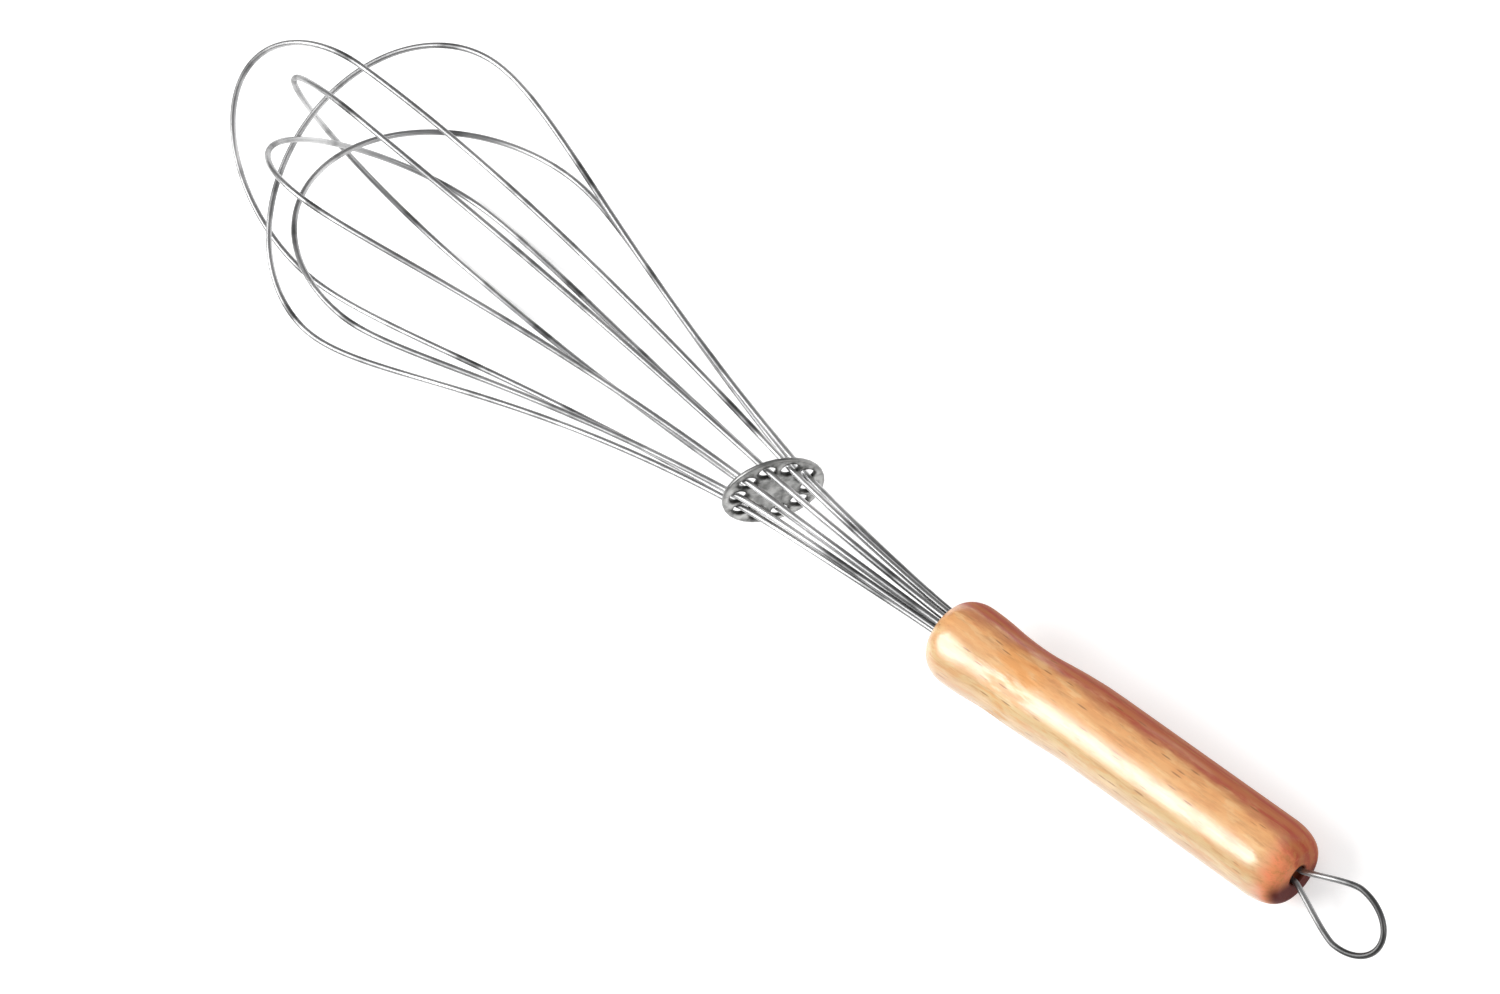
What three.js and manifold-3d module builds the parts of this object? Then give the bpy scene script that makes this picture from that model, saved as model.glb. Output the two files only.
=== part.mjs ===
// A balloon whisk lying on a table: a turned beech handle, five nested wire loops that are threaded
// through a perforated spreader disc, a peg that jams the ten wire ends in the handle's front bore,
// and a teardrop hanging loop in its rear bore.
//
// Each piece is modelled in the whisk's own frame, in millimetres: the origin is the centre of the
// handle's front mouth, +Z runs to the tip of the cage and the handle lies along -Z. The finished
// whisk is then turned to lie on the plane Z = 0 with its length along X.
import * as THREE from 'three';
import { mergeVertices } from 'three/addons/utils/BufferGeometryUtils.js';
import Module from 'manifold-3d';

const wasm = await Module();
wasm.setup();

// Fit between pieces that touch on the real whisk.
const CLEARANCE = 0.3;

// Turned handle, from the front mouth to the rear.
const HANDLE_LENGTH = 112.5;
const FRONT_FACE_R = 6.6;
const HEAD_R = 11.1;
const HEAD_AT = 7;
const WAIST_R = 10.3;
const WAIST_AT = 24;
const BODY_R = 10.6;
const BODY_AT = 39;
const TAIL_AT = 104;
const REAR_FACE_R = 6.5;
const BORE_LIP = 0.5;
const HEAD_SHIFT = 1.3;
const SHIFT_END_AT = 48;
const HANDLE_SIDES = 40;
const HANDLE_CURVE_STEPS = 7;
const SMALL_CURVE_STEPS = 3;

// Cage wire and its grip in the handle.
const WIRE_R = 0.8;
const MOUTH_RING_R = 3.1;
const GRIP_DEPTH = 30;
const BORE_BOTTOM_ROOM = 1.5;
const PEG_LENGTH = 26;
const PEG_NOSE = 2.5;
const PEG_SIDES = 20;
const NECK_BEND = 9;
const WIRE_SIDES = 8;
const LOOP_STEPS = 88;

// Spreader disc, which the sprung wires hold tilted.
const DISC_AT = 63;
const DISC_R = 13.4;
const DISC_THICKNESS = 1.2;
const DISC_TILT = 30;
const DISC_PITCH = -7;
const HOLE_RING_R = 9.4;
const HOLE_R = 2.2;
const DISC_SIDES = 48;
const HOLE_SIDES = 16;

// Five loops, in the order of their holes round the disc. Each is bent by hand, so each has its own
// half width, as a share of CAGE_R, its own shoulder height and cap depth, as shares of CAGE_LENGTH,
// and its own flare above the disc, as a share of LEG_FLARE, and it turns, leans and sways a few
// degrees off its nominal plane.
const CAGE_R = 43.4;
const CAGE_LENGTH = 260.5;
const FIRST_HOLE_ANGLE = 3;
const LOOPS = [
  { width: 1, shoulder: 0.777, cap: 0.15, flare: 1, turn: -3, lean: -1, sway: -1 },
  { width: 0.945, shoulder: 0.702, cap: 0.182, flare: 1.35, turn: -1.5, lean: 1.5, sway: -0.5 },
  { width: 0.922, shoulder: 0.791, cap: 0.127, flare: 1, turn: -4, lean: 2, sway: -0.4 },
  { width: 0.896, shoulder: 0.772, cap: 0.178, flare: 1, turn: -10, lean: 0, sway: 0 },
  { width: 0.76, shoulder: 0.845, cap: 0.155, flare: 1, turn: -3, lean: 4, sway: 1 },
];
const LEG_FLARE = 9.4;
const LEG_START_SHARE = 0.57;
const LEG_END_SHARE = 0.17;

// The used cage is bent a little to one side and up: its axis has moved by SAG at SAG_REACH.
const SAG = new THREE.Vector2(10, -5.1);
const SAG_REACH = 200;
const SAG_POWER = 1.4;

// Hanging loop, one wire bent to a teardrop whose two legs are pushed into the rear bore.
const HANG_WIRE_R = 0.75;
const HANG_LEG_R = 1.6;
const HANG_GRIP = 16;
const HANG_WIDEST_AT = 16;
const HANG_HALF_WIDTH = 7.7;
const HANG_LENGTH = 26.4;
const HANG_LEG_FLARE = 24;
const HANG_TURN = -21;
const HANG_LEAN = -4;
const HANG_STEPS = 44;

// How finely the whisk's place on the table is found.
const REST_ROUNDS = 12;
const REST_SAMPLES = 350;

// Sizes that follow from the driving dimensions.
const FRONT_BORE_R = MOUTH_RING_R + WIRE_R + CLEARANCE;
const FRONT_BORE_DEPTH = GRIP_DEPTH + BORE_BOTTOM_ROOM;
const REAR_BORE_R = HANG_LEG_R + HANG_WIRE_R + CLEARANCE;
const REAR_BORE_DEPTH = HANG_GRIP + BORE_BOTTOM_ROOM;
const PEG_R = MOUTH_RING_R - WIRE_R - CLEARANCE;
const HOLE_STEP = 180 / LOOPS.length;

// Handle length that makes a cubic curve follow a quarter of an ellipse.
const ELLIPSE = 0.5523;

const AXIS = new THREE.Vector3(0, 0, 1);
const rad = THREE.MathUtils.degToRad;
const { smoothstep } = THREE.MathUtils;

const BEECH = { color: 0xd9a066, roughness: 0.3, metalness: 0 };
const PEG_WOOD = { color: 0xb98a58, roughness: 0.7, metalness: 0 };
const WIRE_STEEL = { color: 0xc4c6c8, roughness: 0.22, metalness: 1 };
const DISC_STEEL = { color: 0xa9abac, roughness: 0.35, metalness: 1 };

function mesh(name, geometry, finish) {
  const piece = new THREE.Mesh(geometry, new THREE.MeshStandardMaterial(finish));
  piece.name = name;
  return piece;
}

// Joins and cuts of closed solids.
function toSolid(geometry) {
  const bare = geometry.clone();
  bare.deleteAttribute('normal');
  bare.deleteAttribute('uv');
  const merged = mergeVertices(bare);
  return new wasm.Manifold(new wasm.Mesh({
    numProp: 3,
    vertProperties: new Float32Array(merged.attributes.position.array),
    triVerts: new Uint32Array(merged.index.array),
  }));
}

function toGeometry(solid) {
  const result = solid.getMesh();
  const geometry = new THREE.BufferGeometry();
  geometry.setAttribute('position', new THREE.BufferAttribute(result.vertProperties, 3));
  geometry.setIndex(new THREE.BufferAttribute(result.triVerts, 1));
  geometry.computeVertexNormals();
  return geometry;
}

// A solid of revolution about the whisk's axis, from a path of (radius, height) points.
function turned(path, curveSteps, sides) {
  const outline = path.getPoints(curveSteps);
  return new THREE.LatheGeometry(outline, sides).rotateX(Math.PI / 2);
}

// A round wire along a curve.
function wire(path, radius, steps) {
  const section = new THREE.Shape().absarc(0, 0, radius, 0, 2 * Math.PI);
  return new THREE.ExtrudeGeometry(section, {
    steps,
    curveSegments: WIRE_SIDES / 2,
    bevelEnabled: false,
    extrudePath: path,
  });
}

// Handle profile: rear bore, domed rear, straight body, thumb waist, head, front bore.
function handlePath() {
  const rear = -HANDLE_LENGTH;
  const headToWaist = (WAIST_AT - HEAD_AT) / 2;
  const waistToBody = (BODY_AT - WAIST_AT) / 2;
  const tail = HANDLE_LENGTH - TAIL_AT;
  const path = new THREE.Path();
  path.moveTo(0, rear + REAR_BORE_DEPTH);
  path.lineTo(REAR_BORE_R, rear + REAR_BORE_DEPTH);
  path.lineTo(REAR_BORE_R, rear + BORE_LIP);
  path.lineTo(REAR_BORE_R + BORE_LIP, rear);
  path.lineTo(REAR_FACE_R, rear);
  path.bezierCurveTo(
    REAR_FACE_R + ELLIPSE * (BODY_R - REAR_FACE_R), rear,
    BODY_R, rear + (1 - ELLIPSE) * tail,
    BODY_R, -TAIL_AT,
  );
  path.lineTo(BODY_R, -BODY_AT);
  path.bezierCurveTo(BODY_R, -BODY_AT + waistToBody, WAIST_R, -WAIST_AT - waistToBody, WAIST_R, -WAIST_AT);
  path.bezierCurveTo(WAIST_R, -WAIST_AT + headToWaist, HEAD_R, -HEAD_AT - headToWaist, HEAD_R, -HEAD_AT);
  path.bezierCurveTo(
    HEAD_R, -HEAD_AT * (1 - ELLIPSE),
    FRONT_FACE_R + ELLIPSE * (HEAD_R - FRONT_FACE_R), 0,
    FRONT_FACE_R, 0,
  );
  path.lineTo(FRONT_BORE_R + BORE_LIP, 0);
  path.lineTo(FRONT_BORE_R, -BORE_LIP);
  path.lineTo(FRONT_BORE_R, -FRONT_BORE_DEPTH);
  path.lineTo(0, -FRONT_BORE_DEPTH);
  return path;
}

// The head and waist are turned off the body's axis, which leaves a rest for the thumb at one side.
// The bores stay on the axis.
function offCentre(geometry) {
  const points = geometry.attributes.position;
  for (let index = 0; index < points.count; index += 1) {
    const x = points.getX(index);
    const outside = smoothstep(Math.hypot(x, points.getY(index)), FRONT_BORE_R + BORE_LIP, FRONT_FACE_R);
    const forward = smoothstep(points.getZ(index), -SHIFT_END_AT, -WAIST_AT);
    points.setX(index, x - HEAD_SHIFT * outside * forward);
  }
  geometry.computeVertexNormals();
  return geometry;
}

function handle() {
  const blank = turned(handlePath(), HANDLE_CURVE_STEPS, HANDLE_SIDES);
  return mesh('handle', offCentre(blank), BEECH);
}

// Peg down the middle of the ten wire ends, with a rounded nose towards the mouth.
function corePeg() {
  const foot = -GRIP_DEPTH;
  const path = new THREE.Path();
  path.moveTo(0, foot);
  path.lineTo(PEG_R, foot);
  path.lineTo(PEG_R, foot + PEG_LENGTH - PEG_NOSE);
  path.quadraticCurveTo(PEG_R, foot + PEG_LENGTH, 0, foot + PEG_LENGTH);
  return mesh('core_peg', turned(path, SMALL_CURVE_STEPS, PEG_SIDES), PEG_WOOD);
}

// How far the sprung cage's axis has moved at a height above the mouth.
function sagAt(height) {
  const share = (Math.max(height, 0) / SAG_REACH) ** SAG_POWER;
  return new THREE.Vector3(SAG.x * share, SAG.y * share, 0);
}

function sagged(point) {
  return sagAt(point.z).add(point);
}

// The tilted plane on which the wires' bends lie: its middle at the origin, square to Z before the tilt.
function bendPlace() {
  const place = new THREE.Matrix4().makeRotationY(rad(DISC_TILT));
  return place.setPosition(sagged(new THREE.Vector3(0, 0, DISC_AT)));
}

// The disc has play on the wires, so it lies pitched a little off that plane.
function discPlace() {
  const pitch = new THREE.Matrix4().makeRotationX(rad(DISC_PITCH));
  const place = bendPlace();
  const middle = new THREE.Vector3().setFromMatrixPosition(place);
  return place.premultiply(pitch).setPosition(middle);
}

function holeAngle(index) {
  return rad(FIRST_HOLE_ANGLE + HOLE_STEP * index);
}

function radial(angle) {
  return new THREE.Vector3(Math.cos(angle), Math.sin(angle), 0);
}

// A flat disc with a rounded rim and one hole for each wire.
function spreaderDisc() {
  const half = DISC_THICKNESS / 2;
  const flatR = DISC_R - half;
  const path = new THREE.Path();
  path.moveTo(0, -half);
  path.lineTo(flatR, -half);
  path.absarc(flatR, 0, half, -Math.PI / 2, Math.PI / 2);
  path.lineTo(0, half);
  let solid = toSolid(turned(path, SMALL_CURVE_STEPS, DISC_SIDES));
  for (let index = 0; index < 2 * LOOPS.length; index += 1) {
    const drill = new THREE.CylinderGeometry(HOLE_R, HOLE_R, 2 * DISC_THICKNESS, HOLE_SIDES);
    const centre = radial(holeAngle(index)).multiplyScalar(HOLE_RING_R);
    drill.rotateX(Math.PI / 2).translate(centre.x, centre.y, 0);
    solid = solid.subtract(toSolid(drill));
  }
  const piece = mesh('spreader_disc', toGeometry(solid), DISC_STEEL);
  piece.applyMatrix4(discPlace());
  return piece;
}

// One leg of a loop, from its end in the bore to the tip: grip, neck, leg and half of the cap.
function legCurves(index, side) {
  const loop = LOOPS[index];
  const outward = radial(holeAngle(index)).multiplyScalar(side);
  const across = radial(holeAngle(index) + rad(loop.turn));
  const aside = new THREE.Vector3(-across.y, across.x, 0);
  const halfWidth = loop.width * CAGE_R;
  const shoulderAt = loop.shoulder * CAGE_LENGTH;
  const capDepth = loop.cap * CAGE_LENGTH;

  // A point of the loop's own plane, at a distance from its centre line and a height.
  const at = (distance, height) => {
    const above = height - DISC_AT;
    const point = new THREE.Vector3(0, 0, height);
    point.addScaledVector(across, side * distance + Math.tan(rad(loop.sway)) * above);
    point.addScaledVector(aside, Math.tan(rad(loop.lean)) * above);
    return sagged(point);
  };

  const mouth = outward.clone().multiplyScalar(MOUTH_RING_R);
  const end = mouth.clone().addScaledVector(AXIS, -GRIP_DEPTH);
  const hole = outward.clone().multiplyScalar(HOLE_RING_R).applyMatrix4(bendPlace());
  const rise = shoulderAt - hole.z;
  const flare = outward.clone().multiplyScalar(Math.tan(rad(loop.flare * LEG_FLARE))).add(AXIS);
  const legStart = hole.clone().addScaledVector(flare, LEG_START_SHARE * rise);
  legStart.add(sagAt(legStart.z)).sub(sagAt(hole.z));
  const legEnd = at(halfWidth, shoulderAt - LEG_END_SHARE * rise);
  const shoulder = at(halfWidth, shoulderAt);
  const tipAt = shoulderAt + capDepth;
  const capStart = at(halfWidth, shoulderAt + ELLIPSE * capDepth);
  const capEnd = at(ELLIPSE * halfWidth, tipAt);
  const neckStart = mouth.clone().addScaledVector(AXIS, NECK_BEND);
  const neckEnd = hole.clone().addScaledVector(legStart.clone().sub(hole).normalize(), -NECK_BEND);
  return [
    new THREE.CubicBezierCurve3(end, end.clone().lerp(mouth, 1 / 3), end.clone().lerp(mouth, 2 / 3), mouth),
    new THREE.CubicBezierCurve3(mouth, neckStart, neckEnd, hole),
    new THREE.CubicBezierCurve3(hole, legStart, legEnd, shoulder),
    new THREE.CubicBezierCurve3(shoulder, capStart, capEnd, at(0, tipAt)),
  ];
}

function backwards(curve) {
  return new THREE.CubicBezierCurve3(curve.v3, curve.v2, curve.v1, curve.v0);
}

// A wire's whole path: out along one leg and back along the other.
function joined(outLeg, returnLeg) {
  const path = new THREE.CurvePath();
  path.curves = [...outLeg, ...returnLeg.map(backwards).reverse()];
  return path;
}

function loopPath(index) {
  return joined(legCurves(index, 1), legCurves(index, -1));
}

function wireLoop(index) {
  return mesh(`wire_loop_${index + 1}`, wire(loopPath(index), WIRE_R, LOOP_STEPS), WIRE_STEEL);
}

// One leg of the hanging loop, from its end in the rear bore to the far end of the teardrop.
function hangCurves(side) {
  const across = radial(rad(HANG_TURN));
  const at = (distance, out) => {
    const point = new THREE.Vector3(0, 0, -HANDLE_LENGTH - out);
    const drift = Math.tan(rad(HANG_LEAN)) * Math.max(out, 0);
    return point.addScaledVector(across, side * distance + drift);
  };
  const flareOut = HANG_WIDEST_AT / 2;
  const flareWidth = HANG_LEG_R + flareOut * Math.tan(rad(HANG_LEG_FLARE));
  const cap = HANG_LENGTH - HANG_WIDEST_AT;
  const bend = 2 * HANG_WIRE_R;
  return [
    new THREE.CubicBezierCurve3(
      at(HANG_LEG_R, -HANG_GRIP), at(HANG_LEG_R, -HANG_GRIP / 2), at(HANG_LEG_R, -bend), at(HANG_LEG_R, 0),
    ),
    new THREE.CubicBezierCurve3(
      at(HANG_LEG_R, 0), at(HANG_LEG_R, bend), at(flareWidth, flareOut), at(HANG_HALF_WIDTH, HANG_WIDEST_AT),
    ),
    new THREE.CubicBezierCurve3(
      at(HANG_HALF_WIDTH, HANG_WIDEST_AT), at(HANG_HALF_WIDTH, HANG_WIDEST_AT + ELLIPSE * cap),
      at(ELLIPSE * HANG_HALF_WIDTH, HANG_LENGTH), at(0, HANG_LENGTH),
    ),
  ];
}

function hangingLoop() {
  const path = joined(hangCurves(1), hangCurves(-1));
  return mesh('hanging_loop', wire(path, HANG_WIRE_R, HANG_STEPS), WIRE_STEEL);
}

function lowest(points, up) {
  return points.reduce((low, point) => (point.dot(up) < low.dot(up) ? point : low));
}

// Up, in the whisk's own frame, when it lies with its first loop about level, on the handle's heel
// and on a wire at each side of the upright plane through the heel and the middle of the cage: the
// normal of the plane through those three lowest points, found again until it settles.
function restingUp() {
  const wirePoints = LOOPS.flatMap((loop, index) => loopPath(index).getSpacedPoints(REST_SAMPLES));
  const middle = new THREE.Box3().setFromPoints(wirePoints).getCenter(new THREE.Vector3());
  const profile = handlePath().getPoints(HANDLE_CURVE_STEPS);
  let up = radial(holeAngle(LOOPS.length / 2)).negate();
  for (let round = 0; round < REST_ROUNDS; round += 1) {
    const down = up.clone().projectOnPlane(AXIS).normalize().negate();
    const rim = profile.map(({ x, y }) => down.clone().multiplyScalar(x).addScaledVector(AXIS, y));
    const heel = lowest(rim, up).clone().addScaledVector(up, WIRE_R);
    const beside = middle.clone().sub(heel).cross(up);
    const isLeft = (point) => point.clone().sub(heel).dot(beside) < 0;
    const left = lowest(wirePoints.filter(isLeft), up);
    const right = lowest(wirePoints.filter((point) => !isLeft(point)), up);
    const normal = left.clone().sub(heel).cross(right.clone().sub(heel)).normalize();
    up = normal.multiplyScalar(Math.sign(normal.dot(up)));
  }
  return up;
}

const whisk = new THREE.Group();
whisk.name = 'whisk';
whisk.add(handle(), corePeg(), spreaderDisc());
LOOPS.forEach((loop, index) => whisk.add(wireLoop(index)));
whisk.add(hangingLoop());

// Lay the whisk down, with its origin under the middle of its bounding box.
const up = restingUp();
const along = AXIS.clone().projectOnPlane(up).normalize();
const sideways = new THREE.Vector3().crossVectors(up, along);
const toWhisk = new THREE.Matrix4().makeBasis(along, sideways, up);
whisk.quaternion.setFromRotationMatrix(toWhisk.transpose());
whisk.updateMatrixWorld(true);
const box = new THREE.Box3().setFromObject(whisk, true);
const middle = box.getCenter(new THREE.Vector3());
whisk.position.set(-middle.x, -middle.y, -box.min.z);
whisk.updateMatrixWorld(true);

export default whisk;
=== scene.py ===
"""The looks of a balloon whisk lying on a pale table.

The handle, wires, disc and hanging loop are modelled here as fine meshes in the whisk's own frame,
in metres: the origin is the centre of the handle's front mouth, +Z runs to the tip of the cage and
the handle lies along -Z. WHISK_PLACE then lays them where the CAD whisk lies. The core peg is the
CAD's own.
"""
import math

import bmesh
import bpy
from mathutils import Matrix, Vector


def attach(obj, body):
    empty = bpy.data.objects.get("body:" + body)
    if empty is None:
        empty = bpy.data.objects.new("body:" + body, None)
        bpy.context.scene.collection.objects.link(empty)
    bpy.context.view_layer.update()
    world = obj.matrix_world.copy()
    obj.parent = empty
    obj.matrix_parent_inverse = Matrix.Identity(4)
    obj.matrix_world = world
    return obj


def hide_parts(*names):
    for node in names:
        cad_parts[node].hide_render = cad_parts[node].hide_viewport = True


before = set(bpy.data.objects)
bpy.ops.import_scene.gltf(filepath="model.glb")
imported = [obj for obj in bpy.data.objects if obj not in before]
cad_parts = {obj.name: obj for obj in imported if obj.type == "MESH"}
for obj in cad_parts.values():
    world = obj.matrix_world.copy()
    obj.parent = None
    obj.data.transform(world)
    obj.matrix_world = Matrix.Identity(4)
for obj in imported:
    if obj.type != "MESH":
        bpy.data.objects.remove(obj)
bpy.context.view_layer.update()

# How the whisk lies: its mouth's place, the side of its axis that is down, and its axis's rise.
MOUTH_PLACE = Vector((-0.060055, 0.007825, 0.018612))
DOWN_SIDE = 89.37
AXIS_RISE = 4.4126

# Turned handle, from the front mouth to the rear.
HANDLE_LENGTH = 0.1125
FRONT_FACE_R = 0.0066
HEAD_R = 0.0111
HEAD_AT = 0.007
WAIST_R = 0.0103
WAIST_AT = 0.024
BODY_R = 0.0106
BODY_AT = 0.039
TAIL_AT = 0.104
REAR_FACE_R = 0.0065
BORE_LIP = 0.0005
HEAD_SHIFT = 0.0013
SHIFT_END_AT = 0.048
FRONT_BORE_R = 0.0042
FRONT_BORE_DEPTH = 0.0315
REAR_BORE_R = 0.00265
REAR_BORE_DEPTH = 0.0175

# Cage wire, disc and loops.
WIRE_R = 0.0008
MOUTH_RING_R = 0.0031
GRIP_DEPTH = 0.03
NECK_BEND = 0.009
DISC_AT = 0.063
DISC_R = 0.0134
DISC_THICKNESS = 0.0012
DISC_EDGE = 0.0004
DISC_TILT = 30
DISC_PITCH = -7
HOLE_RING_R = 0.0094
HOLE_R = 0.0022
CAGE_R = 0.0434
CAGE_LENGTH = 0.2605
FIRST_HOLE_ANGLE = 3
LOOPS = [
    dict(width=1, shoulder=0.777, cap=0.15, flare=1, turn=-3, lean=-1, sway=-1),
    dict(width=0.945, shoulder=0.702, cap=0.182, flare=1.35, turn=-1.5, lean=1.5, sway=-0.5),
    dict(width=0.922, shoulder=0.791, cap=0.127, flare=1, turn=-4, lean=2, sway=-0.4),
    dict(width=0.896, shoulder=0.772, cap=0.178, flare=1, turn=-10, lean=0, sway=0),
    dict(width=0.76, shoulder=0.845, cap=0.155, flare=1, turn=-3, lean=4, sway=1),
]
HOLE_STEP = 180 / len(LOOPS)
LEG_FLARE = 9.4
LEG_START_SHARE = 0.57
LEG_END_SHARE = 0.17
SAG = Vector((0.01, -0.0051, 0))
SAG_REACH = 0.2
SAG_POWER = 1.4

# Hanging loop.
HANG_WIRE_R = 0.00075
HANG_LEG_R = 0.0016
HANG_GRIP = 0.016
HANG_WIDEST_AT = 0.016
HANG_HALF_WIDTH = 0.0077
HANG_LENGTH = 0.0264
HANG_SHOULDER = 0.0035
HANG_TURN = -21
HANG_LEAN = -4

# Fineness of the meshes.
HANDLE_SIDES = 128
HANDLE_STEPS = 24
BODY_STEPS = 12
WIRE_SIDES = 20
WIRE_STEPS = 40
CIRCLE_STEPS = 8
EDGE_STEPS = 3
CREASE_ANGLE = 35
DISC_CREASE_ANGLE = 40

# Camera: the photograph's view. Its roll turns the lying whisk to a diagonal.
CAMERA_TARGET = Vector((0.01026, 0.01069, 0.02))
CAMERA_DISTANCE = 1.2676
CAMERA_LOOKS_DOWN = 55.58
CAMERA_HEADING = 0.97
CAMERA_ROLL = -55.41
CAMERA_LENS = 120
CAMERA_SENSOR = 36

# Length of a cubic curve's handles that follows a quarter of an ellipse.
ELLIPSE = 0.5523
AXIS = Vector((0, 0, 1))


def tangent(degrees):
    return math.tan(math.radians(degrees))


def radial(degrees):
    angle = math.radians(degrees)
    return Vector((math.cos(angle), math.sin(angle), 0))


def whisk_place():
    roll = Matrix.Rotation(math.radians(-DOWN_SIDE), 4, "Z")
    lie = Matrix.Rotation(math.radians(90 - AXIS_RISE), 4, "Y")
    return Matrix.Translation(MOUTH_PLACE) @ lie @ roll


WHISK_PLACE = whisk_place()


def cubic(start, start_handle, end_handle, end, steps):
    """Points of a cubic curve, without its first."""
    points = []
    for step in range(1, steps + 1):
        t = step / steps
        s = 1 - t
        points.append(
            start * s**3
            + start_handle * (3 * s * s * t)
            + end_handle * (3 * s * t * t)
            + end * t**3
        )
    return points


def piece(name, mesh, node, material, place=WHISK_PLACE):
    """A mesh of the whisk, laid down, which stands for a CAD node.

    Its points keep their coordinates before that, for its material.
    """
    own = mesh.attributes.new("own", "FLOAT_VECTOR", "POINT")
    for point, kept in zip(mesh.vertices, own.data):
        kept.vector = point.co
    mesh.transform(place)
    shown = bpy.data.objects.new(name, mesh)
    bpy.context.scene.collection.objects.link(shown)
    mesh.materials.clear()
    mesh.materials.append(material)
    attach(shown, "root")
    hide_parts(node)
    return shown


def finished(name, shape):
    """A smooth mesh from a bmesh, with its creases kept sharp."""
    bmesh.ops.recalc_face_normals(shape, faces=shape.faces)
    mesh = bpy.data.meshes.new(name)
    shape.to_mesh(mesh)
    shape.free()
    mesh.shade_smooth()
    mesh.set_sharp_from_angle(angle=math.radians(CREASE_ANGLE))
    return mesh


def lathe(name, profile, sides):
    """A surface of revolution about Z from (radius, height) points. An end on the axis is closed."""
    shape = bmesh.new()
    rings = []
    for radius, height in profile:
        if radius == 0:
            rings.append([shape.verts.new((0, 0, height))] * sides)
            continue
        turns = [2 * math.pi * side / sides for side in range(sides)]
        rings.append(
            [shape.verts.new((radius * math.cos(a), radius * math.sin(a), height)) for a in turns]
        )
    for lower, upper in zip(rings, rings[1:]):
        for side in range(sides):
            after = (side + 1) % sides
            corners = [lower[side], lower[after], upper[after], upper[side]]
            shape.faces.new(list(dict.fromkeys(corners)))
    return finished(name, shape)


def tube(name, path, radius, sides):
    """A round wire along a path, with a UV map in metres: round it in u and along it in v."""
    shape = bmesh.new()
    layer = shape.loops.layers.uv.new("along")
    heading = (path[1] - path[0]).normalized()
    side = heading.orthogonal().normalized()
    rings, lengths = [], []
    for index, point in enumerate(path):
        before = path[max(index - 1, 0)]
        after = path[min(index + 1, len(path) - 1)]
        turned = (after - before).normalized()
        side.rotate(heading.rotation_difference(turned))
        heading = turned
        up = heading.cross(side)
        ring = []
        for step in range(sides):
            angle = 2 * math.pi * step / sides
            ring.append(
                shape.verts.new(point + radius * (math.cos(angle) * side + math.sin(angle) * up))
            )
        rings.append(ring)
        lengths.append(lengths[-1] + (point - before).length if lengths else 0)
    girth = 2 * math.pi * radius / sides
    for index in range(len(rings) - 1):
        for step in range(sides):
            after = (step + 1) % sides
            face = shape.faces.new(
                [rings[index][step], rings[index][after], rings[index + 1][after], rings[index + 1][step]]
            )
            for loop, (u, v) in zip(face.loops, [(0, 0), (1, 0), (1, 1), (0, 1)]):
                loop[layer].uv = ((step + u) * girth, lengths[index + v])
    shape.faces.new(rings[0])
    shape.faces.new(rings[-1])
    return finished(name, shape)


def handle_profile():
    """Rear bore, domed rear, straight body, thumb waist, head and front bore."""

    def curve(start, start_handle, end_handle, end):
        corners = [Vector(corner) for corner in (start, start_handle, end_handle, end)]
        return [tuple(point) for point in cubic(*corners, HANDLE_STEPS)]

    rear = -HANDLE_LENGTH
    head_to_waist = (WAIST_AT - HEAD_AT) / 2
    waist_to_body = (BODY_AT - WAIST_AT) / 2
    tail = HANDLE_LENGTH - TAIL_AT
    rear_lip = REAR_BORE_R + BORE_LIP
    front_lip = FRONT_BORE_R + BORE_LIP
    profile = [
        (0, rear + REAR_BORE_DEPTH),
        (REAR_BORE_R, rear + REAR_BORE_DEPTH),
        (REAR_BORE_R, rear + BORE_LIP),
    ]
    profile += curve(
        (REAR_BORE_R, rear + BORE_LIP),
        (REAR_BORE_R, rear + (1 - ELLIPSE) * BORE_LIP),
        (rear_lip - ELLIPSE * BORE_LIP, rear),
        (rear_lip, rear),
    )
    profile += [(REAR_FACE_R, rear)]
    profile += curve(
        (REAR_FACE_R, rear),
        (REAR_FACE_R + ELLIPSE * (BODY_R - REAR_FACE_R), rear),
        (BODY_R, rear + (1 - ELLIPSE) * tail),
        (BODY_R, -TAIL_AT),
    )
    body = TAIL_AT - BODY_AT
    profile += [(BODY_R, -TAIL_AT + body * step / BODY_STEPS) for step in range(1, BODY_STEPS + 1)]
    profile += curve(
        (BODY_R, -BODY_AT),
        (BODY_R, -BODY_AT + waist_to_body),
        (WAIST_R, -WAIST_AT - waist_to_body),
        (WAIST_R, -WAIST_AT),
    )
    profile += curve(
        (WAIST_R, -WAIST_AT),
        (WAIST_R, -WAIST_AT + head_to_waist),
        (HEAD_R, -HEAD_AT - head_to_waist),
        (HEAD_R, -HEAD_AT),
    )
    profile += curve(
        (HEAD_R, -HEAD_AT),
        (HEAD_R, -HEAD_AT * (1 - ELLIPSE)),
        (FRONT_FACE_R + ELLIPSE * (HEAD_R - FRONT_FACE_R), 0),
        (FRONT_FACE_R, 0),
    )
    profile += [(front_lip, 0)]
    profile += curve(
        (front_lip, 0),
        (front_lip - ELLIPSE * BORE_LIP, 0),
        (FRONT_BORE_R, -BORE_LIP * (1 - ELLIPSE)),
        (FRONT_BORE_R, -BORE_LIP),
    )
    profile += [(FRONT_BORE_R, -FRONT_BORE_DEPTH), (0, -FRONT_BORE_DEPTH)]
    return profile


def smooth_step(value, low, high):
    share = min(max((value - low) / (high - low), 0), 1)
    return share * share * (3 - 2 * share)


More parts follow.
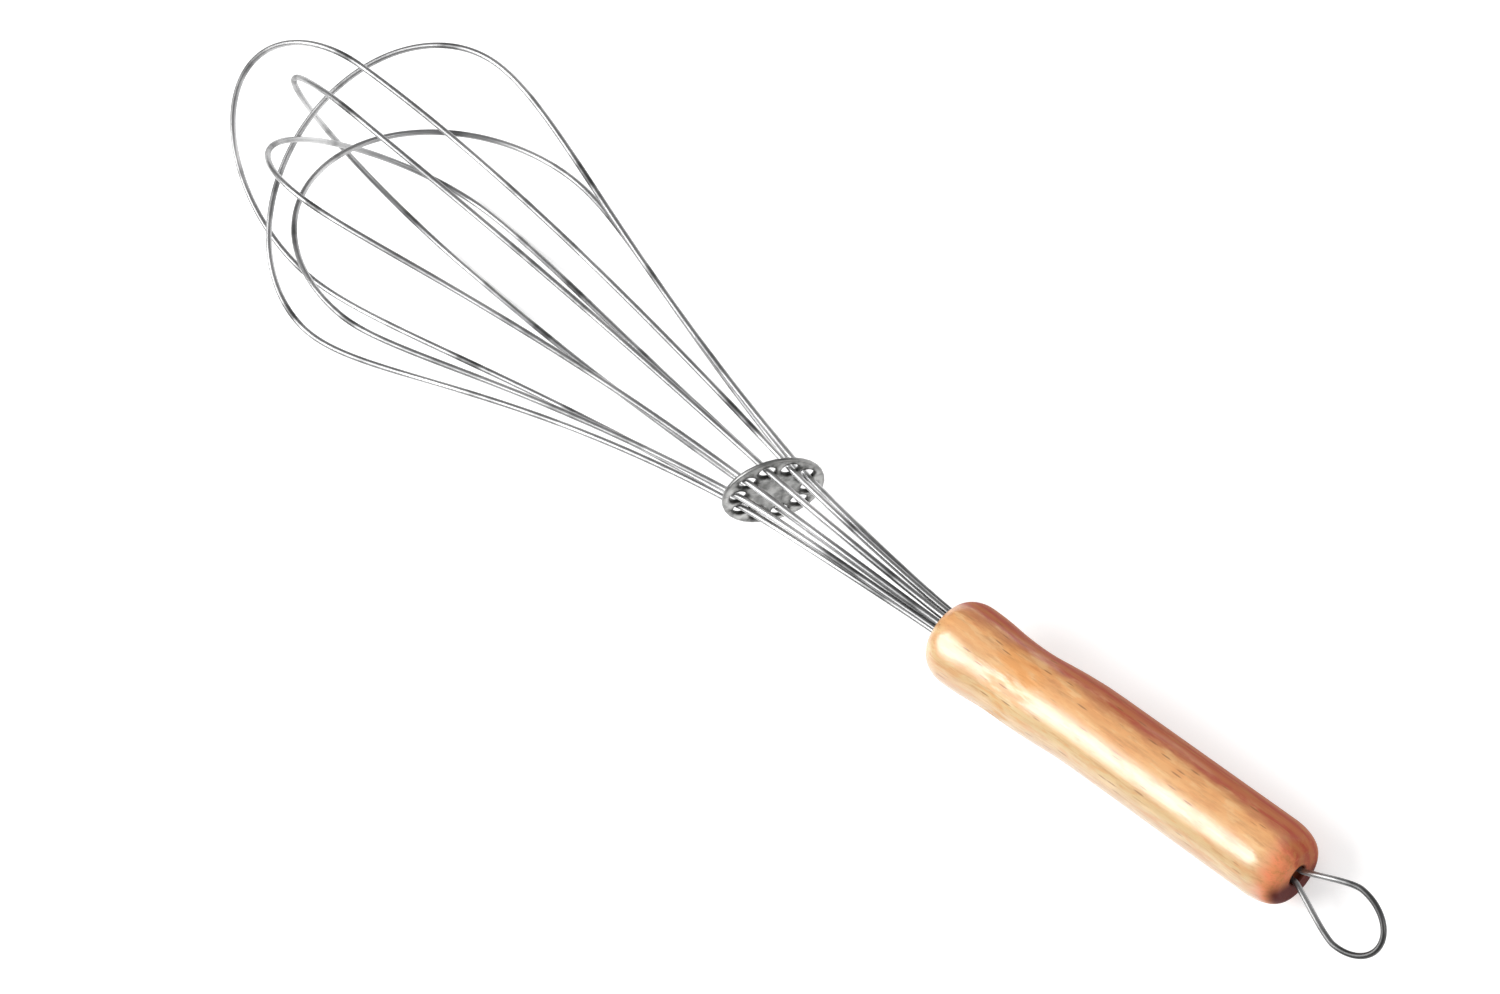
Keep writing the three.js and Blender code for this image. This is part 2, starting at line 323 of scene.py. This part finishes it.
def off_centre(mesh):
    """The head and waist are turned off the body's axis; the bores stay on it."""
    for point in mesh.vertices:
        outside = smooth_step(point.co.xy.length, FRONT_BORE_R + BORE_LIP, FRONT_FACE_R)
        forward = smooth_step(point.co.z, -SHIFT_END_AT, -WAIST_AT)
        point.co.x -= HEAD_SHIFT * outside * forward
    return mesh


def sag_at(height):
    """How far the bent cage's axis has moved at a height above the mouth."""
    return SAG * (max(height, 0) / SAG_REACH) ** SAG_POWER


def sagged(point):
    return point + sag_at(point.z)


def disc_place(pitch=DISC_PITCH):
    """Where the disc lies. Without its pitch, it is the tilted plane on which the wires' bends lie."""
    middle = sagged(AXIS * DISC_AT)
    turn = Matrix.Rotation(math.radians(pitch), 4, "X")
    tilt = Matrix.Rotation(math.radians(DISC_TILT), 4, "Y")
    return Matrix.Translation(middle) @ turn @ tilt


def hole_angle(index):
    return FIRST_HOLE_ANGLE + HOLE_STEP * index


def leg(index, side):
    """One leg of a loop, from its end in the bore to the tip: grip, neck, leg and half of the cap."""
    loop = LOOPS[index]
    outward = side * radial(hole_angle(index))
    across = radial(hole_angle(index) + loop["turn"])
    aside = AXIS.cross(across)
    half_width = loop["width"] * CAGE_R
    shoulder_at = loop["shoulder"] * CAGE_LENGTH
    cap = loop["cap"] * CAGE_LENGTH
    tip_at = shoulder_at + cap

    def at(distance, height):
        above = height - DISC_AT
        drift = across * (side * distance + tangent(loop["sway"]) * above)
        return sagged(AXIS * height + drift + aside * (tangent(loop["lean"]) * above))

    mouth = outward * MOUTH_RING_R
    end = mouth - AXIS * GRIP_DEPTH
    hole = disc_place(pitch=0) @ (outward * HOLE_RING_R)
    rise = shoulder_at - hole.z
    flare = tangent(loop["flare"] * LEG_FLARE)
    leg_start = hole + (outward * flare + AXIS) * (LEG_START_SHARE * rise)
    leg_start += sag_at(leg_start.z) - sag_at(hole.z)
    leg_end = at(half_width, shoulder_at - LEG_END_SHARE * rise)
    shoulder = at(half_width, shoulder_at)
    neck_end = hole - (leg_start - hole).normalized() * NECK_BEND
    cap_start = at(half_width, shoulder_at + ELLIPSE * cap)
    cap_end = at(ELLIPSE * half_width, tip_at)
    points = [end, end.lerp(mouth, 0.5), mouth]
    points += cubic(mouth, mouth + AXIS * NECK_BEND, neck_end, hole, WIRE_STEPS)
    points += cubic(hole, leg_start, leg_end, shoulder, WIRE_STEPS)
    points += cubic(shoulder, cap_start, cap_end, at(0, tip_at), WIRE_STEPS)
    return points


def hang_leg(side):
    """One leg of the hanging loop, from its end in the rear bore to the teardrop's far end."""
    across = radial(HANG_TURN)

    def at(distance, out):
        drift = side * distance + tangent(HANG_LEAN) * max(out, 0)
        return across * drift - AXIS * (HANDLE_LENGTH + out)

    cap = HANG_LENGTH - HANG_WIDEST_AT
    bend = 2 * HANG_WIRE_R
    end = at(HANG_LEG_R, -HANG_GRIP)
    mouth = at(HANG_LEG_R, 0)
    widest = at(HANG_HALF_WIDTH, HANG_WIDEST_AT)
    shoulder = at(HANG_HALF_WIDTH, HANG_WIDEST_AT - HANG_SHOULDER)
    cap_start = at(HANG_HALF_WIDTH, HANG_WIDEST_AT + ELLIPSE * cap)
    cap_end = at(ELLIPSE * HANG_HALF_WIDTH, HANG_LENGTH)
    points = [end]
    points += cubic(end, at(HANG_LEG_R, -HANG_GRIP / 2), at(HANG_LEG_R, -bend), mouth, WIRE_STEPS)
    points += cubic(mouth, at(HANG_LEG_R, bend), shoulder, widest, WIRE_STEPS)
    points += cubic(widest, cap_start, cap_end, at(0, HANG_LENGTH), WIRE_STEPS)
    return points


def both_legs(out_leg, return_leg):
    return out_leg + return_leg[-2::-1]


def disc_mesh():
    """A flat disc with ten holes, its rim and the holes' edges rounded."""
    outline = bpy.data.curves.new("disc_outline", "CURVE")
    outline.dimensions = "2D"
    outline.fill_mode = "BOTH"
    outline.resolution_u = CIRCLE_STEPS
    outline.extrude = DISC_THICKNESS / 2 - DISC_EDGE
    outline.bevel_depth = DISC_EDGE
    outline.bevel_resolution = EDGE_STEPS
    circles = [(Vector(), DISC_R - DISC_EDGE)]
    for index in range(2 * len(LOOPS)):
        circles.append((radial(hole_angle(index)) * HOLE_RING_R, HOLE_R + DISC_EDGE))
    for centre, radius in circles:
        spline = outline.splines.new("BEZIER")
        spline.bezier_points.add(3)
        spline.use_cyclic_u = True
        for corner, point in enumerate(spline.bezier_points):
            out = radial(90 * corner)
            along = radial(90 * corner + 90) * (ELLIPSE * radius)
            point.co = centre + out * radius
            point.handle_left = point.co - along
            point.handle_right = point.co + along
    scratch = bpy.data.objects.new("disc_outline", outline)
    bpy.context.scene.collection.objects.link(scratch)
    solid = scratch.evaluated_get(bpy.context.evaluated_depsgraph_get())
    mesh = bpy.data.meshes.new_from_object(solid)
    bpy.data.objects.remove(scratch)
    mesh.shade_smooth()
    mesh.set_sharp_from_angle(angle=math.radians(DISC_CREASE_ANGLE))
    return mesh


# Materials


def new_material(name):
    material = bpy.data.materials.new(name)
    material.use_nodes = True
    tree = material.node_tree
    return material, tree, tree.nodes["Principled BSDF"]


def node(tree, kind, settings=None, **inputs):
    """A shader node. An input is a number, a colour or another node's socket."""
    made = tree.nodes.new("ShaderNode" + kind)
    for key, value in (settings or {}).items():
        setattr(made, key, value)
    for key, value in inputs.items():
        connect(tree, made.inputs[key.replace("_", " ")], value)
    return made


def connect(tree, socket, value):
    if isinstance(value, bpy.types.NodeSocket):
        tree.links.new(value, socket)
    else:
        socket.default_value = value


def own_place(tree):
    """A point's coordinates in its piece's own frame."""
    return node(tree, "Attribute", {"attribute_name": "own"}).outputs["Vector"]


def stretched(tree, vector, scale, location=(0, 0, 0)):
    return node(tree, "Mapping", Vector=vector, Scale=scale, Location=location).outputs["Vector"]


def noise(tree, vector, scale, detail=2, roughness=0.5):
    made = node(tree, "TexNoise", Vector=vector, Scale=scale, Detail=detail, Roughness=roughness)
    return made.outputs["Fac"]


def between(tree, value, low, high, to_low=0.0, to_high=1.0):
    """The value's smooth step from low to high."""
    made = node(
        tree,
        "MapRange",
        {"interpolation_type": "SMOOTHSTEP"},
        Value=value,
        From_Min=low,
        From_Max=high,
        To_Min=to_low,
        To_Max=to_high,
    )
    return made.outputs["Result"]


def math_node(tree, operation, *values):
    made = node(tree, "Math", {"operation": operation})
    for socket, value in zip(made.inputs, values):
        connect(tree, socket, value)
    return made.outputs["Value"]


def scaled(tree, value, factor):
    return math_node(tree, "MULTIPLY", value, factor)


def larger(tree, first, second):
    return math_node(tree, "MAXIMUM", first, second)


def length(tree, vector):
    return node(tree, "VectorMath", {"operation": "LENGTH"}, Vector=vector).outputs["Value"]


# The Mix node's sockets for colours. Their names repeat for other kinds of data.
MIX_FIRST, MIX_SECOND, MIX_RESULT = 6, 7, 2


def blended(tree, factor, first, second):
    made = node(tree, "Mix", {"data_type": "RGBA"})
    connect(tree, made.inputs["Factor"], factor)
    connect(tree, made.inputs[MIX_FIRST], first)
    connect(tree, made.inputs[MIX_SECOND], second)
    return made.outputs[MIX_RESULT]


def bumped(tree, height, strength, distance):
    return node(tree, "Bump", Height=height, Strength=strength, Distance=distance).outputs["Normal"]


# Colours of the beech: round it from its pale side, painted light, to its red side, painted shade, over the
# wood's own tan; then its grain and its rear end, whose end face and bore rim carry painted shade.
LIT_PALE_WOOD = (0.79, 0.57, 0.29, 1)
SHADED_EDGE_WOOD = (0.62, 0.37, 0.16, 1)
TAN_WOOD = (0.89, 0.43, 0.15, 1)
SHADED_RED_WOOD = (0.46, 0.085, 0.048, 1)
BLOTCH = (0.74, 0.29, 0.08, 1)
PALE_BLOTCH = (0.96, 0.67, 0.34, 1)
RING_WOOD = (0.70, 0.34, 0.12, 1)
FIBRE = (0.55, 0.24, 0.08, 1)
FLECK = (0.30, 0.11, 0.035, 1)
TAIL_WOOD = (0.93, 0.26, 0.13, 1)
SHADED_END_FACE = (0.10, 0.008, 0.008, 1)
BORE_SHADE = (0.10, 0.018, 0.01, 1)

# Where they change: across the handle, along it and round the rear bore.
PATCH_REACH = 0.008
RAGGED_REACH = 0.006
LIT_TO_TAN = (-0.002, 0.008)
LIT_TO_SHADED_EDGE = (-0.003, -0.008)
TAN_TO_SHADED_RED = (0.0108, 0.0155)
BODY_TO_TAIL = (-0.105, -0.1105)
SHADED_RED_TAIL = (-0.106, -0.1122)
SHADED_RED_TAIL_REACH = 0.0048
CLEAN_TAIL = (-0.104, -0.109)
TAIL_TO_SHADED_END = (-0.1096, -0.1123)
END_SHADE = (-0.004, 0.004)
BORE_SHADE_REACH = (0.0036, 0.0027)
BORE_SHADE_DEPTH = (-0.108, -0.112)
PITH_PLACE = (0.034, 0.021, 0)

# Fineness of the beech's textures, and how they are drawn out along the handle.
PATCH_FINENESS = 110
BLOTCH_FINENESS = 480
RING_FINENESS = 95
STREAK_FINENESS = 900
FIBRE_FINENESS = 2600
FLECK_FINENESS = 1000
LONG_PATCHES = (1, 1, 0.25)
LONG_RINGS = (1, 1, 0.08)
LONG_STREAKS = (1, 1, 0.1)
LONG_FIBRES = (1, 1, 0.03)
LONG_FLECKS = (1, 1, 0.13)

# Where the lacquer is worn: at the rear, on the red side and under the thumb.
WORN_REAR = (-0.107, -0.1115)
WORN_SIDE = (0.009, 0.0135)
THUMB_AT = 0.027
THUMB_REACH = (0.011, 0.004)
LACQUER_IOR = 1.9


def beech():
    """Turned beech under a clear gloss lacquer: blotches, faint rings, fine fibres and dark flecks, with
    painted light on its pale side and painted shade on its red side, its pale edge, its rear end face and
    round its rear bore.
    """
    material, tree, surface = new_material("beech")
    at = own_place(tree)
    place = node(tree, "SeparateXYZ", Vector=at)
    x, y, z = (place.outputs[axis] for axis in "XYZ")
    patches = noise(tree, stretched(tree, at, LONG_PATCHES), PATCH_FINENESS, 3)
    shift = between(tree, z, -SHIFT_END_AT, -WAIST_AT, 0, HEAD_SHIFT)
    side = math_node(tree, "MULTIPLY_ADD", patches, PATCH_REACH, math_node(tree, "ADD", x, shift))
    # Painted light on the pale side, blending into the wood's own tan.
    colour = blended(tree, between(tree, side, *LIT_TO_TAN), LIT_PALE_WOOD, TAN_WOOD)
    # Painted shade along the pale side's outer edge.
    colour = blended(tree, between(tree, side, *LIT_TO_SHADED_EDGE, 0, 0.7), colour, SHADED_EDGE_WOOD)
    blotches = noise(tree, stretched(tree, at, LONG_PATCHES), BLOTCH_FINENESS, 4, 0.6)
    colour = blended(tree, between(tree, blotches, 0.48, 0.62, 0, 0.45), colour, BLOTCH)
    colour = blended(tree, between(tree, blotches, 0.47, 0.36, 0, 0.4), colour, PALE_BLOTCH)
    colour = blended(tree, between(tree, z, *BODY_TO_TAIL, 0, 0.85), colour, TAIL_WOOD)
    # Painted shade on the red side, carried further round at the rear.
    ragged = math_node(tree, "MULTIPLY_ADD", blotches, RAGGED_REACH, side)
    ragged = math_node(tree, "ADD", ragged, between(tree, z, *SHADED_RED_TAIL, 0, SHADED_RED_TAIL_REACH))
    colour = blended(tree, between(tree, ragged, *TAN_TO_SHADED_RED), colour, SHADED_RED_WOOD)
    waves = node(
        tree,
        "TexWave",
        {"wave_type": "RINGS", "rings_direction": "Z"},
        Vector=stretched(tree, at, LONG_RINGS, PITH_PLACE),
        Scale=RING_FINENESS,
        Distortion=5,
        Detail=3,
        Detail_Scale=0.8,
    )
    colour = blended(tree, scaled(tree, waves.outputs["Fac"], 0.3), colour, RING_WOOD)
    streaks = noise(tree, stretched(tree, at, LONG_STREAKS), STREAK_FINENESS, 5, 0.7)
    colour = blended(tree, between(tree, streaks, 0.46, 0.7, 0, 0.6), colour, FIBRE)
    fibres = noise(tree, stretched(tree, at, LONG_FIBRES), FIBRE_FINENESS, 4, 0.6)
    colour = blended(tree, between(tree, fibres, 0.5, 0.85, 0, 0.4), colour, FIBRE)
    flecks = node(tree, "TexVoronoi", Vector=stretched(tree, at, LONG_FLECKS), Scale=FLECK_FINENESS)
    chosen = node(tree, "SeparateColor", Color=flecks.outputs["Color"])
    fleck = scaled(
        tree,
        between(tree, flecks.outputs["Distance"], 0.28, 0.12),
        between(tree, chosen.outputs["Red"], 0.4, 0.7, 0, 0.7),
    )
    fleck = scaled(tree, fleck, between(tree, z, *CLEAN_TAIL, 1, 0.15))
    colour = blended(tree, fleck, colour, FLECK)
    # Painted shade on the lower part of the rear end face.
    shaded = scaled(
        tree,
        between(tree, z, *TAIL_TO_SHADED_END, 0, 0.97),
        between(tree, math_node(tree, "SUBTRACT", y, x), *END_SHADE),
    )
    colour = blended(tree, shaded, colour, SHADED_END_FACE)
    # Painted shade in a ring on the lip of the rear bore.
    reach = length(tree, stretched(tree, at, (1, 1, 0)))
    rim = scaled(
        tree,
        between(tree, reach, *BORE_SHADE_REACH),
        between(tree, z, *BORE_SHADE_DEPTH, 0, 0.9),
    )
    colour = blended(tree, rim, colour, BORE_SHADE)
    connect(tree, surface.inputs["Base Color"], colour)
    connect(tree, surface.inputs["Roughness"], between(tree, fibres, 0.2, 0.8, 0.36, 0.52))
    connect(tree, surface.inputs["Normal"], bumped(tree, fibres, 0.06, 0.0002))
    worn = larger(tree, between(tree, z, *WORN_REAR), between(tree, side, *WORN_SIDE))
    thumb_gap = math_node(tree, "ABSOLUTE", math_node(tree, "ADD", z, THUMB_AT))
    thumbed = scaled(
        tree,
        between(tree, thumb_gap, *THUMB_REACH),
        between(tree, blotches, 0.4, 0.56, 0.15, 0.6),
    )
    worn = larger(tree, worn, thumbed)
    connect(tree, surface.inputs["Coat Weight"], between(tree, worn, 0, 1, 1, 0.03))
    connect(tree, surface.inputs["Specular IOR Level"], between(tree, worn, 0, 1, 0.25, 0.04))
    connect(tree, surface.inputs["Coat Roughness"], between(tree, blotches, 0.35, 0.65, 0.17, 0.25))
    connect(tree, surface.inputs["Coat Normal"], bumped(tree, streaks, 0.2, 0.0003))
    surface.inputs["Coat IOR"].default_value = LACQUER_IOR
    return material


PALE_PEG = (0.62, 0.44, 0.25, 1)
DARK_PEG = (0.38, 0.23, 0.11, 1)
PEG_FINENESS = 2200


def bare_wood():
    """The peg's unfinished wood."""
    material, tree, surface = new_material("peg_wood")
    at = node(tree, "TexCoord").outputs["Object"]
    fibres = noise(tree, stretched(tree, at, (0.05, 1, 1)), PEG_FINENESS, 4, 0.6)
    colour = blended(tree, fibres, PALE_PEG, DARK_PEG)
    connect(tree, surface.inputs["Base Color"], colour)
    connect(tree, surface.inputs["Roughness"], between(tree, fibres, 0.2, 0.8, 0.65, 0.85))
    connect(tree, surface.inputs["Normal"], bumped(tree, fibres, 0.3, 0.0002))
    return material


# Colours of the wire, and the heights at which they change on the hanging loop and the neck, where
# highlights and shade are painted.
DARK_LINE = (0.27, 0.27, 0.272, 1)
PALE_LINE = (0.46, 0.46, 0.464, 1)
SHINE_AND_HIGHLIGHT = (0.72, 0.72, 0.72, 1)
STAIN = (0.045, 0.045, 0.045, 1)
FILM_AND_SHADE = (0.08, 0.08, 0.08, 1)
HANGER_SHADE = (-0.124, -0.132)
HANGER_HIGHLIGHT = (-0.127, -0.119)
HANGER_END = (-0.05, -0.1)
NECK_FILM_AND_SHADE = (0.042, 0.018)
NECK_HIGHLIGHT_START = (0.028, 0.05)
NECK_HIGHLIGHT_END = (0.078, 0.066)
LINE_FINENESS = 5200
DULL_FINENESS = 48
BRIGHT_FINENESS = 26


def drawn_steel():
    """Drawn wire: fine lines along it, dull and bright stretches, painted highlights by the disc and on the
    hanging loop's legs, grease and painted shade at the handle, and painted shade at the hanging loop's far
    end.
    """
    material, tree, surface = new_material("drawn_steel")
    along = node(tree, "UVMap", {"uv_map": "along"}).outputs["UV"]
    height = node(tree, "SeparateXYZ", Vector=own_place(tree)).outputs["Z"]
    lines = noise(tree, stretched(tree, along, (1, 0.02, 1)), LINE_FINENESS, 3, 0.65)
    dull = noise(tree, stretched(tree, along, (0.5, 1, 1)), DULL_FINENESS, 3, 0.6)
    bright = noise(tree, stretched(tree, along, (0.3, 1, 1), (0, 0.37, 0)), BRIGHT_FINENESS, 2, 0.5)
    colour = blended(tree, lines, DARK_LINE, PALE_LINE)
    # Painted highlights on the hanging loop's legs and on the neck by the disc; the other bright stretches
    # lie at random.
    hanger_highlight = scaled(tree, between(tree, height, *HANGER_HIGHLIGHT), between(tree, height, *HANGER_END))
    neck_highlight = scaled(tree, between(tree, height, *NECK_HIGHLIGHT_START), between(tree, height, *NECK_HIGHLIGHT_END))
    shine_and_highlight = larger(tree, between(tree, bright, 0.44, 0.66, 0, 0.7), hanger_highlight)
    colour = blended(tree, larger(tree, shine_and_highlight, neck_highlight), colour, SHINE_AND_HIGHLIGHT)
    stain = scaled(tree, between(tree, dull, 0.48, 0.68, 0, 0.9), between(tree, neck_highlight, 0, 1, 1, 0.5))
    colour = blended(tree, stain, colour, STAIN)
    # Grease and painted shade on the neck towards the handle; painted shade at the hanging loop's far end.
    film_and_shade = larger(
        tree,
        between(tree, height, *NECK_FILM_AND_SHADE, 0, 0.5),
        between(tree, height, *HANGER_SHADE, 0, 0.95),
    )
    colour = blended(tree, film_and_shade, colour, FILM_AND_SHADE)
    connect(tree, surface.inputs["Base Color"], colour)
    connect(tree, surface.inputs["Roughness"], between(tree, dull, 0.3, 0.7, 0.3, 0.46))
    connect(tree, surface.inputs["Normal"], bumped(tree, lines, 0.12, 0.00005))
    surface.inputs["Metallic"].default_value = 1
    return material


def hole_reach(tree, at):
    """A point's distance from the middle of the nearest hole of the disc."""
    place = node(tree, "SeparateXYZ", Vector=at)
    flat = node(tree, "CombineXYZ", X=place.outputs["X"], Y=place.outputs["Y"])
    reach = length(tree, flat.outputs["Vector"])
    turn = math_node(tree, "ARCTAN2", place.outputs["Y"], place.outputs["X"])
    turn = math_node(tree, "SUBTRACT", turn, math.radians(FIRST_HOLE_ANGLE))
    half_step = math.radians(HOLE_STEP) / 2
    turn = math_node(tree, "WRAP", turn, half_step, -half_step)
    out = scaled(tree, reach, math_node(tree, "COSINE", turn))
    across = scaled(tree, reach, math_node(tree, "SINE", turn))
    gap = node(tree, "CombineXYZ", X=math_node(tree, "SUBTRACT", out, HOLE_RING_R), Y=across)
    return length(tree, gap.outputs["Vector"])


# Colours of the disc, and where its rim and the grease and painted shade at its holes begin and end.
DULL_SHEET = (0.19, 0.19, 0.185, 1)
PALE_SHEET = (0.50, 0.50, 0.49, 1)
SHEET_GRAIN = (0.22, 0.22, 0.22, 1)
SHEET_RIM = (0.24, 0.24, 0.236, 1)
GREASE_AND_SHADE = (0.03, 0.03, 0.028, 1)
RIM_WIDTH = 0.0012
GREASE_AND_SHADE_REACH = (0.0047, 0.0035)
GREASE_AND_SHADE_RAGGED = 0.0024
GRAIN_FINENESS = 5200
MOTTLE_FINENESS = 330


def satin_steel():
    """Pressed sheet: a tumbled satin with a mottle, a duller rim and, at the holes, dark old grease with
    painted shade.
    """
    material, tree, surface = new_material("satin_steel")
    at = own_place(tree)
    grain = noise(tree, at, GRAIN_FINENESS, 4, 0.6)
    mottle = noise(tree, at, MOTTLE_FINENESS, 4, 0.6)
    rim = between(tree, length(tree, at), DISC_R - RIM_WIDTH, DISC_R)
    colour = blended(tree, between(tree, mottle, 0.35, 0.65), DULL_SHEET, PALE_SHEET)
    colour = blended(tree, between(tree, grain, 0.55, 0.8, 0, 0.5), colour, SHEET_GRAIN)
    colour = blended(tree, scaled(tree, rim, 0.7), colour, SHEET_RIM)
    # Old grease and painted shade round the holes.
    ragged = math_node(tree, "MULTIPLY_ADD", mottle, GREASE_AND_SHADE_RAGGED, hole_reach(tree, at))
    colour = blended(tree, between(tree, ragged, *GREASE_AND_SHADE_REACH, 0, 0.94), colour, GREASE_AND_SHADE)
    connect(tree, surface.inputs["Base Color"], colour)
    connect(tree, surface.inputs["Roughness"], between(tree, mottle, 0.3, 0.7, 0.30, 0.42))
    connect(tree, surface.inputs["Normal"], bumped(tree, grain, 0.15, 0.00004))
    surface.inputs["Metallic"].default_value = 1
    return material


# Stage: a pale floor that rises to a wall far away, three soft lamps and plain grey light all round.
FLOOR_R = 3.5
WALL_R = 5
WALL_HEIGHT = 2.5
WALL_STEPS = 12
FLOOR_SIDES = 96
FLOOR_COLOUR = (0.70, 0.70, 0.70, 1)
FLOOR_GLOW = 0.5
WALL_GLOW = 1
FLOOR_TO_WALL = (1, 2.5)
MIRRORED_REACH = (1.6, 0.6)
WORLD_GREY = 0.42


def floor_material():
    """Matt pale paper. It glows for the camera and, near the whisk, in reflections, so it shows as white."""
    material, tree, surface = new_material("paper")
    surface.inputs["Base Color"].default_value = FLOOR_COLOUR
    surface.inputs["Roughness"].default_value = 1
    surface.inputs["Specular IOR Level"].default_value = 0
    surface.inputs["Emission Color"].default_value = (1, 1, 1, 1)
    path = node(tree, "LightPath")
    reach = length(tree, node(tree, "NewGeometry").outputs["Position"])
    mirrored = larger(tree, path.outputs["Is Glossy Ray"], path.outputs["Is Transmission Ray"])
    mirrored = scaled(tree, mirrored, between(tree, reach, *MIRRORED_REACH, 0, FLOOR_GLOW))
    far = between(tree, reach, *FLOOR_TO_WALL, FLOOR_GLOW, WALL_GLOW)
    seen = scaled(tree, path.outputs["Is Camera Ray"], far)
    glow = math_node(tree, "ADD", seen, mirrored)
    connect(tree, surface.inputs["Emission Strength"], glow)
    return material


def floor():
    """A round floor whose edge curves up to a wall."""
    corners = [(FLOOR_R, 0), (WALL_R, 0), (WALL_R, 0), (WALL_R, WALL_HEIGHT)]
    rise = cubic(*[Vector(corner) for corner in corners], WALL_STEPS)
    profile = [(0, 0), (FLOOR_R, 0)] + [tuple(point) for point in rise]
    mesh = lathe("floor", profile, FLOOR_SIDES)
    mesh.materials.append(floor_material())
    ground = bpy.data.objects.new("floor", mesh)
    bpy.context.scene.collection.objects.link(ground)


def lamp(name, place, target, size, power):
    """A square soft lamp that faces its target."""
    light = bpy.data.lights.new(name, "AREA")
    light.shape = "SQUARE"
    light.size = size
    light.energy = power
    shown = bpy.data.objects.new(name, light)
    shown.location = place
    shown.rotation_euler = (Vector(place) - Vector(target)).to_track_quat("Z", "Y").to_euler()
    bpy.context.scene.collection.objects.link(shown)
    return shown


def stage():
    floor()
    lamp("key", place=(0.55, 0.57, 1.0), target=(-0.1, 0.01, 0.02), size=0.95, power=16)
    fill = lamp("fill", place=(0.1, -0.7, 1.5), target=(0, 0, 0), size=1.4, power=4.5)
    fill.visible_glossy = False
    lamp("rear", place=(-1.1, -0.45, 0.55), target=(-0.17, 0.01, 0.02), size=0.5, power=3)
    world = bpy.data.worlds.new("studio")
    world.use_nodes = True
    world.node_tree.nodes["Background"].inputs["Color"].default_value = (WORLD_GREY,) * 3 + (1,)
    bpy.context.scene.world = world


def camera():
    """Looks at the target from its distance, turned about its own axis by the roll."""
    down, heading, roll = (math.radians(a) for a in (CAMERA_LOOKS_DOWN, CAMERA_HEADING, CAMERA_ROLL))
    level_reach = math.cos(down)
    forward = Vector((level_reach * math.cos(heading), level_reach * math.sin(heading), -math.sin(down)))
    level = forward.cross(AXIS).normalized()
    upright = level.cross(forward)
    right = level * math.cos(roll) + upright * math.sin(roll)
    up = upright * math.cos(roll) - level * math.sin(roll)
    lens = bpy.data.cameras.new("camera")
    lens.lens = CAMERA_LENS
    lens.sensor_width = CAMERA_SENSOR
    lens.sensor_fit = "HORIZONTAL"
    shown = bpy.data.objects.new("camera", lens)
    bpy.context.scene.collection.objects.link(shown)
    turn = Matrix((right, up, -forward)).transposed().to_4x4()
    shown.matrix_world = Matrix.Translation(CAMERA_TARGET - forward * CAMERA_DISTANCE) @ turn
    bpy.context.scene.camera = shown


def whisk():
    wood, steel = beech(), drawn_steel()
    handle = off_centre(lathe("turned_handle", handle_profile(), HANDLE_SIDES))
    piece("turned_handle", handle, "handle", wood)
    for index in range(len(LOOPS)):
        path = both_legs(leg(index, 1), leg(index, -1))
        name = f"cage_wire_{index + 1}"
        piece(name, tube(name, path, WIRE_R, WIRE_SIDES), f"wire_loop_{index + 1}", steel)
    path = both_legs(hang_leg(1), hang_leg(-1))
    piece("hanger", tube("hanger", path, HANG_WIRE_R, WIRE_SIDES), "hanging_loop", steel)
    piece(
        "pierced_disc",
        disc_mesh(),
        "spreader_disc",
        satin_steel(),
        WHISK_PLACE @ disc_place(),
    )
    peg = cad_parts["core_peg"]
    peg.data.materials.clear()
    peg.data.materials.append(bare_wood())


camera()
whisk()
stage()
bpy.context.scene.view_settings.view_transform = "Standard"
